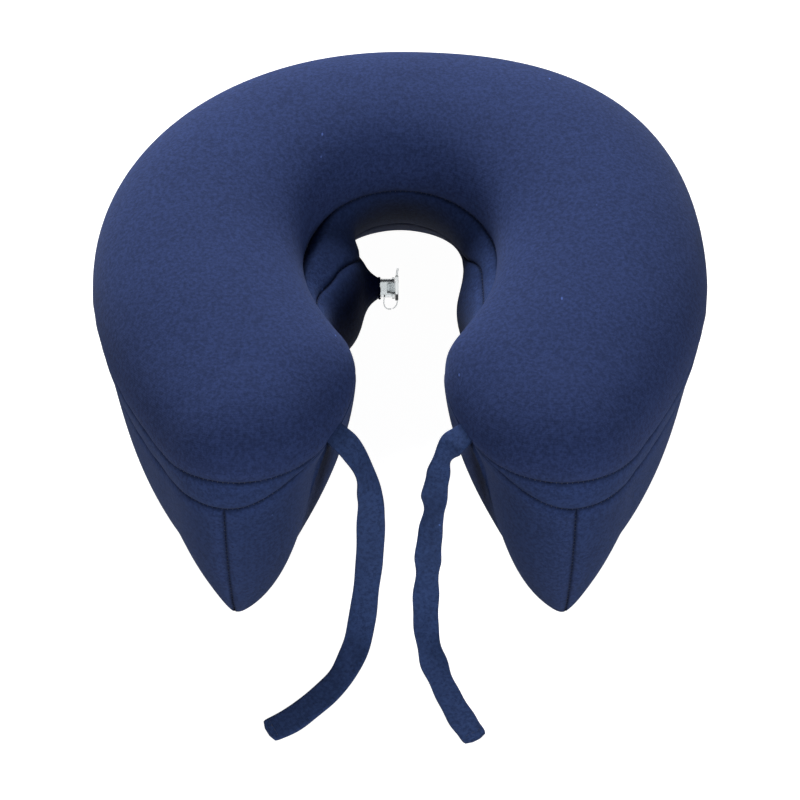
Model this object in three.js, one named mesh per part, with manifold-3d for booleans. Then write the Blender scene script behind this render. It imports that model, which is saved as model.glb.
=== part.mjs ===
// Inflatable U-shaped neck pillow in a sewn stretch-knit cover, with its air valve and two ties.
//
// Units are millimetres. The pillow stands on its keel, +Z is up, the open side of the U faces -Y
// and the back of the U faces +Y. The origin is on the surface it stands on, below the middle of
// its outline.
//
// The whole skin is one formula, skin(loop, row, inset):
//   loop runs once round the U: 0 is the outside of the back, 3 and 11 are the front seams of the
//   two horns, 7 is the inside of the back, 14 is 0 again;
//   row runs down the wall: 0 crown, 1 upper seam, 2 lower seam, 3 keel;
//   inset is the depth below the outer surface.
// Each cover panel is a patch of that skin with a thickness, and the air bladder is all of it.

import * as THREE from 'three';
import { mergeVertices } from 'three/addons/utils/BufferGeometryUtils.js';
import Module from 'manifold-3d';

const wasm = await Module();
wasm.setup();

// ---- driving dimensions ---------------------------------------------------------------------

const CROWN_Z = 138;            // height of the crown, all the way round
const BACK_RADIUS = 110;        // the centre line is a half circle round the neck ...
const SIDE_RADIUS = 188;        // ... and then two shallower arcs that lead into the horns
const SIDE_SWEEP = 33;          // degrees of each side arc
const CENTRE_Y = 4.9;           // middle of the half circle
const FRONT_SEAM_TURN = 82;     // a horn's front seam faces almost straight ahead
const TOE_REACH = 56.5;           // from the end of the centre line to the front seam
const KEEL_LEAD = 0.3;          // share of that reach which the keel already has at 'horn'

const FABRIC = 0.9;             // thickness of the knit cover
const GAP = 0.3;                // clearance between pieces that touch on the real pillow
const SEAM_GAP = 0.6 * GAP;     // how far each sewn edge stops short of its seam
const BLADDER_INSET = FABRIC + GAP;
const SAG = 1.5;                // the pillow's weight flattens its keel by this much
// the back's outer corners are this much fuller than a round
const CORNER = { right: 11, left: 1 };
const TIE_SEAM_TURN = 153;      // the direction that the tie's seam faces, from straight out

const VALVE = {
  y: 24,                        // the valve's axis is parallel to X, in the left inner wall
  z: 62,
  wallX: -21,                   // the wall's outer surface round the valve
  seatRadius: 36,               // the wall is level with the valve inside this radius
  seatLead: 4,                  // and the middle of that patch lies this far in front of the valve
  mouthX: -3,                   // outer end of the stem
  stemLength: 24,
  stemRadius: 5.2,
  boreRadius: 4.0,
  flangeRadius: 12,
  flangeThickness: 0.9,
  flangeDepth: 2.6,             // from the wall's outer surface to the flange's outer face
  pushTravel: 10,               // how far the stem goes in when it is pressed flush
  hingeReach: 11.5,             // from the stem's axis to the tether's living hinge
  hingeSetback: 1,              // from the stem's mouth back to the hinge
  tetherTurn: 49,               // degrees the tether leans forward from straight down
};

const TIE = { width: 14.5, thickness: 2.2 };

// Routes of the ties' middle lines: out of the seam at the horn's inner corner, down, and along
// the surface that the pillow stands on.
const LEFT_TIE_ROUTE = [
  [-31.6, -121, 106], [-27, -123.8, 103], [-22, -127.5, 97], [-17.5, -131.5, 87],
  [-15.1, -136, 73], [-15.1, -140, 58.5], [-15.5, -144, 44], [-16.6, -148.5, 30],
  [-18.2, -156, 17], [-20.2, -165, 7], [-22.4, -174.5, 2], [-25.8, -184.8, 1.3],
  [-30.6, -195.5, 1.3], [-38, -205.6, 1.3], [-46.9, -214.8, 1.3], [-56, -222.8, 1.3],
  [-67.5, -229.5, 1.3],
];
const RIGHT_TIE_ROUTE = [
  [31.6, -121, 106], [26.5, -123.6, 102.5], [21.8, -127, 95.5], [18.9, -131.5, 84],
  [17.5, -136, 70], [16, -140, 55.5], [14.8, -144, 41], [14.2, -148.5, 28],
  [13.5, -156, 16], [13.4, -165, 7], [14.9, -175.5, 2], [17.3, -186.2, 1.3],
  [20.9, -197.5, 1.3], [25.5, -209, 1.3], [31, -220.8, 1.3], [38.8, -234.3, 1.3],
];

// The half loop has eight named places, 0 to 7. Every quantity that changes round the pillow is
// given at them and blends smoothly in between.
const PLACES = ['back', 'side', 'horn', 'tip', 'tie', 'neck', 'throat', 'nape'];
const OUTLINE = {
  half:      { back: 45, side: 56, horn: 51, tip: 58, tie: 52, neck: 61, throat: 58, nape: 55 },
  upperSeam: { back: 92, side: 92, horn: 99, tip: 109, tie: 105, neck: 111, throat: 101, nape: 101 },
  // how far outside the centre line the keel lies
  keelOut:   { back: 24, side: 8, horn: 0, tip: 0, tie: 0, neck: 0, throat: -8, nape: -24 },
  // handles of the wall's curve: how far it bulges out, how far it drops before it turns in,
  // and how wide its foot is as a share of the half width
  bulge:     { back: 0, side: -13, horn: -4, tip: 12, tie: -26, neck: 6, throat: 54, nape: -2 },
  shoulder:  { back: 38, side: 38, horn: 46, tip: 52, tie: 34, neck: 32, throat: 44, nape: 41 },
  foot:      { back: 0.6, side: 0.8, horn: 1, tip: 1, tie: 0.8, neck: 0.6, throat: 0.88, nape: 0 },
};

// How much of the wall, from the upper seam down, belongs to the gusset: a sliver between 'tie'
// and 'neck', and most under the nape.
const GUSSET_SLIVER = 0.012;
OUTLINE.gusset = {
  back: 0.13, side: 0.13, horn: 0.11, tip: 0.11,
  tie: GUSSET_SLIVER, neck: GUSSET_SLIVER, throat: 0.06, nape: 0.36,
};
const SEGMENTS = [7, 6, 6, 3, 3, 6, 7];     // mesh columns between one place and the next
const ROWS = { top: 5, gusset: 2, lower: 6 };
const SOLE_ROW = 2.94;                      // from this row to the keel the skin lies flat
const FRONT_SEAM = 3;                       // loop position of a horn's front seam
const TIE_SEAM = 4;                         // where the gusset runs out and the tie is sewn in
const INNER_GUSSET = 5;                     // where the inner gusset starts
const LAST_PLACE = 7;
const LOOP = 2 * LAST_PLACE;

// ---- colours and finishes -------------------------------------------------------------------

const KNIT = { color: '#1a2c5c', roughness: 0.95, metalness: 0 };
const KNIT_LOWER = { color: '#16264f', roughness: 0.95, metalness: 0 };
const TIE_FABRIC = { color: '#182a58', roughness: 0.9, metalness: 0 };
const FILM = { color: '#8b9199', roughness: 0.35, metalness: 0 };
const CLEAR_PVC = { color: '#dfe3e2', roughness: 0.15, metalness: 0 };

// ---- the skin -------------------------------------------------------------------------------

const radians = THREE.MathUtils.degToRad;

// A quantity of OUTLINE at place q, 0 to 7.
function blend(quantity, q) {
  const i = Math.min(Math.floor(q), LAST_PLACE - 1);
  const t = THREE.MathUtils.smoothstep(q - i, 0, 1);
  return THREE.MathUtils.lerp(OUTLINE[quantity][PLACES[i]], OUTLINE[quantity][PLACES[i + 1]], t);
}

// How far along its reach to the toe the keel lies at place q. The two sides of a horn end pass
// through the same points, because both have the same number of columns there.
function toeShare(q) {
  const ease = (t) => THREE.MathUtils.smoothstep(t, 0, 1);
  const endTurn = q < FRONT_SEAM ? q - 2 : (5 - q) / 2;       // 0 at 'horn' and 'neck', 1 at 'tip'
  if (endTurn >= 0) return THREE.MathUtils.lerp(KEEL_LEAD, 1, ease(endTurn));
  const along = q < FRONT_SEAM ? q : LAST_PLACE - q;
  return KEEL_LEAD * ease(along - 1);
}

// Point of the centre line and the direction straight out from it, for place q of the right half.
function station(q) {
  const sweep = radians(SIDE_SWEEP);
  const inner = q > 4.5;
  const along = inner ? LAST_PLACE - q : q;           // 0 back, 1 side, 2 horn
  const frontal = radians(FRONT_SEAM_TURN);
  const tieTurn = radians(TIE_SEAM_TURN) - frontal;
  let angle;
  let base;
  if (along <= 1) {
    angle = radians(90) * (1 - along);
    base = new THREE.Vector2(Math.cos(angle), Math.sin(angle)).multiplyScalar(BACK_RADIUS);
  } else {
    angle = -sweep * Math.min(along - 1, 1);
    base = new THREE.Vector2(Math.cos(angle), Math.sin(angle)).multiplyScalar(SIDE_RADIUS);
    base.x += BACK_RADIUS - SIDE_RADIUS;
  }
  base.y += CENTRE_Y;
  if (along > 2 && q <= 3) angle = THREE.MathUtils.lerp(-sweep, -frontal, q - 2);
  else if (q > 3 && q <= 4) angle = -frontal - tieTurn * (q - 3);
  else if (q > 4 && q <= 5) angle = THREE.MathUtils.lerp(-frontal - tieTurn, -sweep - Math.PI, q - 4);
  else if (inner) angle += Math.PI;
  return { base, out: new THREE.Vector2(Math.cos(angle), Math.sin(angle)) };
}

function bezier(p0, p1, p2, p3, t) {
  const s = 1 - t;
  return new THREE.Vector3()
    .addScaledVector(p0, s * s * s)
    .addScaledVector(p1, 3 * s * s * t)
    .addScaledVector(p2, 3 * s * t * t)
    .addScaledVector(p3, t * t * t);
}

// The valve's flange holds the left inner wall flat and pushes it out towards the neck.
function seatValve(point, row, inset) {
  const distance = Math.hypot(point.y - VALVE.y + VALVE.seatLead, point.z - VALVE.z);
  const clearOfKeel = 1 - THREE.MathUtils.smoothstep(row, 2.6, 3);
  const hold = clearOfKeel * Math.exp(-((distance / VALVE.seatRadius) ** 4));
  point.x = THREE.MathUtils.lerp(point.x, VALVE.wallX - inset, hold);
}

// A point of the surface inset mm below the outer skin.
function skin(loop, row, inset = 0) {
  const wrapped = THREE.MathUtils.euclideanModulo(loop, LOOP);
  const left = wrapped > LAST_PLACE;
  const q = left ? LOOP - wrapped : wrapped;
  const { base, out } = station(q);
  const fuller = left ? CORNER.left : CORNER.right;
  const corner = q < 1 ? fuller * Math.sin(Math.PI * q) ** 2 : 0;
  const half = blend('half', q) + corner - inset;
  const seamZ = blend('upperSeam', q);
  const at = (distance, z) =>
    new THREE.Vector3(base.x + out.x * distance, base.y + out.y * distance, z);
  const crownZ = CROWN_Z - inset;
  let point;
  if (row <= 1) {
    const shoulderZ = THREE.MathUtils.lerp(seamZ, crownZ, 0.6);
    point = bezier(at(0, crownZ), at(0.74 * half, crownZ), at(half, shoulderZ), at(half, seamZ), row);
  } else {
    const share = blend('gusset', q);
    const t = row <= 2 ? share * (row - 1) : THREE.MathUtils.lerp(share, 1, row - 2);
    const keel = at(blend('keelOut', q), inset - SAG);
    const toe = radians(-FRONT_SEAM_TURN);
    const reach = (TOE_REACH - inset) * toeShare(q);
    keel.add(new THREE.Vector3(Math.cos(toe), Math.sin(toe), 0).multiplyScalar(reach));
    const seam = at(half, seamZ);
    const foot = keel.clone().lerp(new THREE.Vector3(seam.x, seam.y, keel.z), blend('foot', q));
    point = bezier(seam, at(half + blend('bulge', q), seamZ - blend('shoulder', q)), foot, keel, t);
    point.z = Math.max(point.z, inset);
  }
  if (left) point.x = -point.x;
  if (left && q > 5 && row > 1) seatValve(point, row, inset);
  return point;
}

// ---- closed geometry from patches of the skin -----------------------------------------------

// Loop positions of the mesh columns from one loop position to another.
function columns(from, to) {
  const places = [];
  for (let lap = -1; lap <= 1; lap++) {
    for (let i = 0; i < LOOP; i++) {
      const steps = SEGMENTS[i < LAST_PLACE ? i : LOOP - 1 - i];
      for (let s = 0; s < steps; s++) places.push(lap * LOOP + i + s / steps);
    }
  }
  return [from, ...places.filter((place) => place > from + 1e-6 && place < to - 1e-6), to];
}

function rows(from, to, steps) {
  return Array.from({ length: steps + 1 }, (_, i) => THREE.MathUtils.lerp(from, to, i / steps));
}

function lowerWallRows() {
  return [...rows(2, 3, ROWS.lower).slice(0, -1), SOLE_ROW, 3];
}

// Collects quads and turns them into a merged BufferGeometry.
class Faces {
  positions = [];

  triangle(a, b, c) {
    for (const p of [a, b, c]) this.positions.push(p.x, p.y, p.z);
  }

  quad(a, b, c, d) {
    this.triangle(a, b, c);
    this.triangle(a, c, d);
  }

  // A net of points, grid[column][row], as faces. Flip turns them over and keeps their diagonals,
  // so that layers of the skin stay parallel.
  net(grid, flip = false) {
    for (let i = 0; i + 1 < grid.length; i++) {
      for (let j = 0; j + 1 < grid[i].length; j++) {
        const [a, b, c, d] = [grid[i][j], grid[i + 1][j], grid[i + 1][j + 1], grid[i][j + 1]];
        if (flip) this.quad(a, d, c, b);
        else this.quad(a, b, c, d);
      }
    }
  }

  geometry() {
    const raw = new THREE.BufferGeometry();
    raw.setAttribute('position', new THREE.Float32BufferAttribute(this.positions, 3));
    return withoutSlivers(mergeVertices(raw, 1e-3));
  }
}

// Drops the triangles that merging has collapsed to a line.
function withoutSlivers(geometry) {
  const index = [...geometry.index.array];
  const kept = [];
  for (let i = 0; i < index.length; i += 3) {
    const [a, b, c] = index.slice(i, i + 3);
    if (a !== b && b !== c && c !== a) kept.push(a, b, c);
  }
  geometry.setIndex(kept);
  return geometry;
}

// Moves the first and last entries of each list towards their neighbours, to open a seam's gap.
function pullEnds(points, distance) {
  const moved = points.map((p) => p.clone());
  const last = points.length - 1;
  const towards = (from, to) => from.clone().addScaledVector(to.clone().sub(from).normalize(), distance);
  moved[0] = towards(points[0], points[1]);
  moved[last] = towards(points[last], points[last - 1]);
  return moved;
}

function transpose(grid) {
  return grid[0].map((_, j) => grid.map((column) => column[j]));
}

// A sewn panel: a patch of the skin, FABRIC thick, with half a seam gap left round its edge.
function panel(loopRange, rowList, closedLoop = false) {
  const places = columns(...loopRange);
  const layer = (inset) => {
    let grid = places.map((loop) => pullEnds(rowList.map((row) => skin(loop, row, inset)), SEAM_GAP));
    if (!closedLoop) grid = transpose(transpose(grid).map((line) => pullEnds(line, SEAM_GAP)));
    return grid;
  };
  return slab(layer(0), layer(FABRIC), closedLoop);
}

// Joins an outer net and an inner net of points into one closed slab.
function slab(outer, inner, closedLoop) {
  const faces = new Faces();
  faces.net(outer);
  faces.net(inner, true);
  const last = outer[0].length - 1;
  faces.net([inner.map((c) => c[0]), outer.map((c) => c[0])], true);
  faces.net([outer.map((c) => c[last]), inner.map((c) => c[last])], true);
  if (!closedLoop) {
    faces.net([inner[0], outer[0]]);
    faces.net([outer.at(-1), inner.at(-1)]);
  }
  return faces.geometry();
}

// The top panel covers both sides of the crown, so its inner and outer halves share the crown line.
function topPanel() {
  const faces = new Faces();
  const rowList = rows(0, 1, ROWS.top);
  const layer = (inset) => columns(0, LOOP).map((loop) => {
    const line = rowList.map((row) => skin(loop, row, inset));
    return [line[0], ...pullEnds(line, SEAM_GAP).slice(1)];
  });
  const outer = layer(0);
  const inner = layer(FABRIC);
  faces.net(outer);
  faces.net(inner, true);
  faces.net([outer.map((c) => c.at(-1)), inner.map((c) => c.at(-1))], true);
  return faces.geometry();
}

function bladderBody() {
  const faces = new Faces();
  const rowList = [
    ...rows(0, 1, ROWS.top),
    ...rows(1, 2, ROWS.gusset).slice(1),
    ...lowerWallRows().slice(1),
  ];
  faces.net(columns(0, LOOP).map((loop) => rowList.map((row) => skin(loop, row, BLADDER_INSET))));
  return faces.geometry();
}

// ---- booleans -------------------------------------------------------------------------------

function solid(geometry) {
  const bare = geometry.clone();
  bare.deleteAttribute('normal');
  bare.deleteAttribute('uv');
  const merged = withoutSlivers(mergeVertices(bare, 1e-3));
  return new wasm.Manifold(new wasm.Mesh({
    numProp: 3,
    vertProperties: merged.attributes.position.array,
    triVerts: new Uint32Array(merged.index.array),
  }));
}

function geometryOf(manifold) {
  const mesh = manifold.getMesh();
  const geometry = new THREE.BufferGeometry();
  geometry.setAttribute('position', new THREE.BufferAttribute(mesh.vertProperties, 3));
  geometry.setIndex(new THREE.BufferAttribute(mesh.triVerts, 1));
  return geometry;
}

const union = (...parts) => geometryOf(parts.map(solid).reduce((a, b) => a.add(b)));
const cut = (body, ...tools) =>
  geometryOf(tools.map(solid).reduce((a, b) => a.subtract(b), solid(body)));

// ---- valve ----------------------------------------------------------------------------------

// A turned piece on the valve's axis. The profile is [distance along X, radius] pairs.
function turned(profile, segments = 24) {
  const points = profile.map(([x, radius]) => new THREE.Vector2(radius, x));
  return new THREE.LatheGeometry(points, segments).rotateZ(-Math.PI / 2).translate(0, VALVE.y, VALVE.z);
}

// A box with its middle at x along the valve's axis and reach below it, down the tether's line.
function tetherBox(lengthX, width, height, x, reach) {
  return new THREE.BoxGeometry(lengthX, width, height).translate(x, 0, -reach)
    .rotateX(-radians(VALVE.tetherTurn)).translate(0, VALVE.y, VALVE.z);
}

// A pin across the tether's line.
function tetherPin(radius, width, x, reach) {
  return new THREE.CylinderGeometry(radius, radius, width, 16).translate(x, 0, -reach)
    .rotateX(-radians(VALVE.tetherTurn)).translate(0, VALVE.y, VALVE.z);
}

const flangeX = VALVE.wallX - VALVE.flangeDepth;
const stemInnerX = VALVE.mouthX - VALVE.stemLength;
const flapX = VALVE.mouthX - 14;
const hingeX = VALVE.mouthX - VALVE.hingeSetback;
const TETHER_WIDTH = 5;
const TETHER_THICKNESS = 1;
const KNUCKLE_RADIUS = 0.8;

// Welded to the film: a flat ring with a short collar that the stem slides in.
function valveFlange() {
  const bore = VALVE.stemRadius + GAP;
  return turned([
    [flangeX, bore], [flangeX - 4, bore], [flangeX - 4, bore + 1.2],
    [flangeX - VALVE.flangeThickness, bore + 1.2], [flangeX - VALVE.flangeThickness, VALVE.flangeRadius],
    [flangeX, VALVE.flangeRadius], [flangeX, bore],
  ]);
}

// The soft tube, with a seat for the flap inside and the near half of the plug's tether.
function valveStem() {
  const { stemRadius, boreRadius, mouthX } = VALVE;
  const seat = boreRadius - 0.9;
  const tube = turned([
    [mouthX, boreRadius], [flapX + 2, boreRadius], [flapX + 1.6, seat], [flapX + 0.6, seat],
    [flapX + 0.6, boreRadius], [stemInnerX, boreRadius], [stemInnerX, stemRadius],
    [mouthX - 1.4, stemRadius], [mouthX - 1.4, stemRadius + 0.8], [mouthX, stemRadius + 0.8],
    [mouthX, boreRadius],
  ]);
  const lugLength = VALVE.hingeReach - boreRadius - 0.6;
  const lug = tetherBox(TETHER_THICKNESS, TETHER_WIDTH, lugLength, hingeX, VALVE.hingeReach - lugLength / 2);
  return union(tube, lug, tetherPin(KNUCKLE_RADIUS, TETHER_WIDTH, hingeX, VALVE.hingeReach));
}

// The plug on its cap, with the pull tab and the far half of the tether.
function valvePlug() {
  const face = VALVE.mouthX + GAP;                 // the cap's inner face
  const capRadius = 7;
  const capThickness = 1.8;
  const plug = turned([
    [face - 4.5, 0], [face - 4.5, 2.8], [face, 3.6], [face, capRadius],
    [face + capThickness, capRadius], [face + capThickness, 0],
  ]);
  const strap = tetherBox(TETHER_THICKNESS + 0.2, TETHER_WIDTH, 7.4, face + 0.6, 9.2);
  const tab = tetherBox(1.4, 4.4, 5, face + 0.8, -8.4);
  return union(plug, strap, tab);
}

// The one-way flap that the air pushes shut against its seat.
function valveFlap() {
  const radius = VALVE.boreRadius - 0.4;
  return turned([[flapX - 0.3, 0], [flapX - 0.3, radius], [flapX + 0.3, radius], [flapX + 0.3, 0]]);
}

// Room in the bladder for the flange, its collar and the travel of the stem.
function valvePocket() {
  const { flangeRadius, flangeThickness, stemRadius, pushTravel, wallX } = VALVE;
  const back = flangeX - flangeThickness - GAP;
  return turned([
    [stemInnerX - pushTravel - 1, 0], [stemInnerX - pushTravel - 1, stemRadius + 0.6],
    [flangeX - 5, stemRadius + 0.6], [flangeX - 4.4, stemRadius + 1.9], [back, stemRadius + 1.9],
    [back, flangeRadius + GAP], [wallX + 6, flangeRadius + GAP], [wallX + 6, 0],
  ]);
}

function coverHole() {
  const radius = VALVE.stemRadius + 1;
  return turned([[VALVE.wallX - 8, 0], [VALVE.wallX - 8, radius], [VALVE.wallX + 8, radius], [VALVE.wallX + 8, 0]]);
}

// ---- ties -----------------------------------------------------------------------------------

// A flat strap along a route, lying level at its far end.
function strap(route) {
  const path = new THREE.CatmullRomCurve3(route.map((point) => new THREE.Vector3(...point)));
  const steps = Math.round(path.getLength() / 7);
  const frames = path.computeFrenetFrames(steps, false);
  const across = new THREE.Vector3(0, 0, 1).cross(frames.tangents[steps]).normalize();
  const angle = Math.atan2(across.dot(frames.binormals[steps]), across.dot(frames.normals[steps]));
  const half = TIE.width / 2;
  const edge = TIE.thickness / 2;
  const corners = [
    [half, -edge / 2], [half, edge / 2], [half - edge, edge], [edge - half, edge],
    [-half, edge / 2], [-half, -edge / 2], [edge - half, -edge], [half - edge, -edge],
  ];
  const section = new THREE.Shape(
    corners.map(([x, y]) => new THREE.Vector2(x, y).rotateAround(new THREE.Vector2(), angle)),
  );
  return new THREE.ExtrudeGeometry(section, { steps, extrudePath: path, bevelEnabled: false });
}

// ---- assembly -------------------------------------------------------------------------------

const pillow = new THREE.Group();

function add(name, geometry, finish) {
  const mesh = new THREE.Mesh(geometry, new THREE.MeshStandardMaterial(finish));
  mesh.name = name;
  pillow.add(mesh);
}

const gussetRows = rows(1, 2, ROWS.gusset);
const lowerRows = lowerWallRows();

add('cover_top_panel', topPanel(), KNIT);
add('outer_gusset', panel([-TIE_SEAM, TIE_SEAM], gussetRows), KNIT_LOWER);
add('inner_gusset', panel([INNER_GUSSET, LOOP - INNER_GUSSET], gussetRows), KNIT_LOWER);
add('lower_outer_panel', panel([-FRONT_SEAM, FRONT_SEAM], lowerRows), KNIT_LOWER);
add('lower_inner_panel', cut(panel([FRONT_SEAM, LOOP - FRONT_SEAM], lowerRows), coverHole()), KNIT_LOWER);
add('air_bladder', cut(bladderBody(), valvePocket()), FILM);
add('valve_flange', valveFlange(), CLEAR_PVC);
add('valve_stem', valveStem(), CLEAR_PVC);
add('valve_plug', valvePlug(), CLEAR_PVC);
add('valve_flap', valveFlap(), CLEAR_PVC);
add('tie_left', strap(LEFT_TIE_ROUTE), TIE_FABRIC);
add('tie_right', strap(RIGHT_TIE_ROUTE), TIE_FABRIC);

export default pillow;
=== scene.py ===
"""Looks of an inflatable U-shaped neck pillow with a stretch-knit cover, an air valve and two ties.

Metres, in the CAD's own frame: +Z up, the open side of the U faces -Y. The cover is rebuilt from
the formula and driving dimensions of the CAD skin, inflated by a cloth simulation, and then cut
into its sewn panels, with a crease, gathers and thread along every seam.
"""

import math

import bmesh
import bpy
import numpy as np
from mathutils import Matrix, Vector


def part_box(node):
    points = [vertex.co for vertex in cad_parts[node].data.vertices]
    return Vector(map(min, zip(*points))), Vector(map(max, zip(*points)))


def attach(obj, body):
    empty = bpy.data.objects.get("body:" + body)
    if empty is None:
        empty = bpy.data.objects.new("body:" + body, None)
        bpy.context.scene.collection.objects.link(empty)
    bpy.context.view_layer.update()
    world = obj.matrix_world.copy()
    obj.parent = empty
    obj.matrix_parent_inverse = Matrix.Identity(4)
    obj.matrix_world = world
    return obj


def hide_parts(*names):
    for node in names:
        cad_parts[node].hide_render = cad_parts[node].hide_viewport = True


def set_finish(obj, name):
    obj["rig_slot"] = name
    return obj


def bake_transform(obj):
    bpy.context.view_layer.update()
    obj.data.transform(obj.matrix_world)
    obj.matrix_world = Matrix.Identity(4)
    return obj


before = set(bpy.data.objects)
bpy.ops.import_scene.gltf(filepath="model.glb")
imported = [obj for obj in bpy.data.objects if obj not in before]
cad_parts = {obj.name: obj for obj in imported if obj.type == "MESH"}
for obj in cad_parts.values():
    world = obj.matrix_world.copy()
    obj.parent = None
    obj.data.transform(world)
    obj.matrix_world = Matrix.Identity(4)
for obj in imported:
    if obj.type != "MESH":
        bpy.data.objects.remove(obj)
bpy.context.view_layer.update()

MM = 0.001

# ---- camera ----

CAMERA_ELEVATION = math.radians(49)
CAMERA_AIM = Vector((0, -0.057, 0.060))
CAMERA_DISTANCE = 1.3
CAMERA_LENS = 109

# ---- driving dimensions of the skin, in mm, as in the CAD ----

CROWN_Z = 138
BACK_RADIUS = 110
SIDE_RADIUS = 188
SIDE_SWEEP = 33
CENTRE_Y = 4.9
FRONT_SEAM_TURN = 82
TIE_SEAM_TURN = 153
TOE_REACH = 56.5
KEEL_LEAD = 0.3
SAG = 1.5
CORNER_RIGHT = 11
CORNER_LEFT = 1

# Sections at eight places of the half loop: back, side, horn, tip, tie, neck, throat and nape.
OUTLINE = {
    "half": (45, 56, 51, 58, 52, 61, 58, 55),
    "upper_seam": (92, 92, 99, 109, 105, 111, 101, 101),
    "keel_out": (24, 8, 0, 0, 0, 0, -8, -24),
    "bulge": (0, -13, -4, 12, -26, 6, 54, -2),
    "shoulder": (38, 38, 46, 52, 34, 32, 44, 41),
    "foot": (0.6, 0.8, 1, 1, 0.8, 0.6, 0.88, 0),
    "gusset": (0.13, 0.13, 0.11, 0.11, 0.012, 0.012, 0.06, 0.36),
}
LAST_PLACE = 7
LOOP = 2 * LAST_PLACE
FRONT_SEAM = 3
TIE_SEAM = 4
INNER_GUSSET = 5

VALVE_Y = 24
VALVE_Z = 62
VALVE_WALL_X = -21
VALVE_SEAT_RADIUS = 36
VALVE_SEAT_LEAD = 4
VALVE_MOUTH_X = -3
STEM_RADIUS = 5.2
BORE_RADIUS = 4.0
STEM_LENGTH = 24
SEAT_DEPTH = 14
TETHER_TURN = 49
TETHER_WIDTH = 5
TETHER_THICKNESS = 0.7
# Handles of the curves of the tether's two halves and of the pull tab: (x, distance below axis).
NEAR_TETHER = ((-8.6, 4.9), (-9.8, 9.5), (-8.4, 12.3), (-4.8, 11.6))
FAR_TETHER = ((-4.0, 11.5), (-2.6, 10.6), (-1.0, 9.0), (-1.7, 6.2))
PULL_TAB = ((-1.8, -6.0), (-1.8, -8.0), (-1.5, -9.5), (-1.2, -10.9))
TAB_WIDTH = 4.4
TAB_THICKNESS = 1.2
CONE_HEIGHT = 9.5
CONE_REACH = 5
HOLE_RADIUS = 5.45
CUFF_RADIUS = 18

# ---- ties: the CAD's routes, in mm ----

TIE_WIDTH = 14.5
TIE_THICKNESS = 2.2
LEFT_TIE_ROUTE = (
    (-31.6, -121, 106), (-27, -123.8, 103), (-22, -127.5, 97), (-17.5, -131.5, 87),
    (-15.1, -136, 73), (-15.1, -140, 58.5), (-15.5, -144, 44), (-16.6, -148.5, 30),
    (-18.2, -156, 17), (-20.2, -165, 7), (-22.4, -174.5, 2), (-25.8, -184.8, 1.3),
    (-30.6, -195.5, 1.3), (-38, -205.6, 1.3), (-46.9, -214.8, 1.3), (-56, -222.8, 1.3),
    (-67.5, -229.5, 1.3),
)
RIGHT_TIE_ROUTE = (
    (31.6, -121, 106), (26.5, -123.6, 102.5), (21.8, -127, 95.5), (18.9, -131.5, 84),
    (17.5, -136, 70), (16, -140, 55.5), (14.8, -144, 41), (14.2, -148.5, 28),
    (13.5, -156, 16), (13.4, -165, 7), (14.9, -175.5, 2), (17.3, -186.2, 1.3),
    (20.9, -197.5, 1.3), (25.5, -209, 1.3), (31, -220.8, 1.3), (38.8, -234.3, 1.3),
)

# ---- seams ----

CREASE_DEPTH = 0.8
CREASE_WIDTH = 3.0
GROOVE_DEPTH = 0.9
GROOVE_WIDTH = 0.7
STITCH_PITCH = 2.8
SEAM_ALLOWANCE = 1.6
FILM_DEPTH = 4
POCKET_RADIUS = 14
POCKET_X = -50

# ---- colours (linear), lights and floor ----

NAVY = (0.0205, 0.0355, 0.112)
NAVY_DEEP = (0.0195, 0.0365, 0.114)
NAVY_TIE = (0.027, 0.050, 0.140)
# The thread's navy, darkened further as painted shade so that the seam grooves read as dark lines.
THREAD = (0.010, 0.018, 0.058)
CLEAR = (0.82, 0.85, 0.86)
FILM = (0.40, 0.43, 0.47)
FLOOR = (0.4, 0.4, 0.4)
FLOOR_GLOW = 0.98
FLOOR_HALF = 40
FLOOR_DROP = 0.0003
WORLD_LIGHT = 0.06

# Lamps: where each stands, where it points, and its power in watts.
LAMP_SIZE = 0.8
LAMPS = {
    "overhead": ((-0.3, 1.3, 1.05), (0, 0, 0.1), 49),
    "front_right": ((1.25, -1.25, 0.6), (0, -0.05, 0.05), 21),
    "front_left": ((-1.25, -1.25, 0.6), (0, -0.05, 0.05), 16),
}

# Which of the record's material slots each finish made here stands for.
SLOTS = {
    "knit_top": "knit",
    "knit_lower": "knit_lower",
    "tie_knit": "tie_fabric",
    "thread": "knit_lower",
    "film": "film",
    "clear_vinyl": "clear_pvc",
}


# ---- small maths ----

def smooth(t):
    t = np.clip(t, 0, 1)
    return t * t * (3 - 2 * t)


def mix(a, b, t):
    return a + (b - a) * t


def unit(vectors):
    length = np.linalg.norm(vectors, axis=-1, keepdims=True)
    return vectors / np.maximum(length, 1e-12)


def arc(points, axis):
    """Length along a net of points from its first line, in the given direction."""
    steps = np.linalg.norm(np.diff(points, axis=axis), axis=-1)
    start = np.zeros_like(np.take(steps, [0], axis=axis))
    return np.concatenate([start, np.cumsum(steps, axis=axis)], axis=axis)


def graded(count, crowd=0.75):
    """Shares from 0 to 1 that lie closer together near both ends."""
    t = np.linspace(0, 1, count + 1)
    return mix(t, 0.5 - 0.5 * np.cos(math.pi * t), crowd)


# ---- the skin ----

def half_loop(loop):
    """The place along the half loop, 0 to 7, and whether it lies on the left half."""
    wrapped = np.mod(loop, LOOP)
    left = wrapped > LAST_PLACE
    return np.where(left, LOOP - wrapped, wrapped), left


def at_place(quantity, q):
    """A quantity of OUTLINE at place q of the half loop, 0 to 7."""
    values = np.array(OUTLINE[quantity], float)
    i = np.minimum(q.astype(int), LAST_PLACE - 1)
    return mix(values[i], values[i + 1], smooth(q - i))


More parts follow.
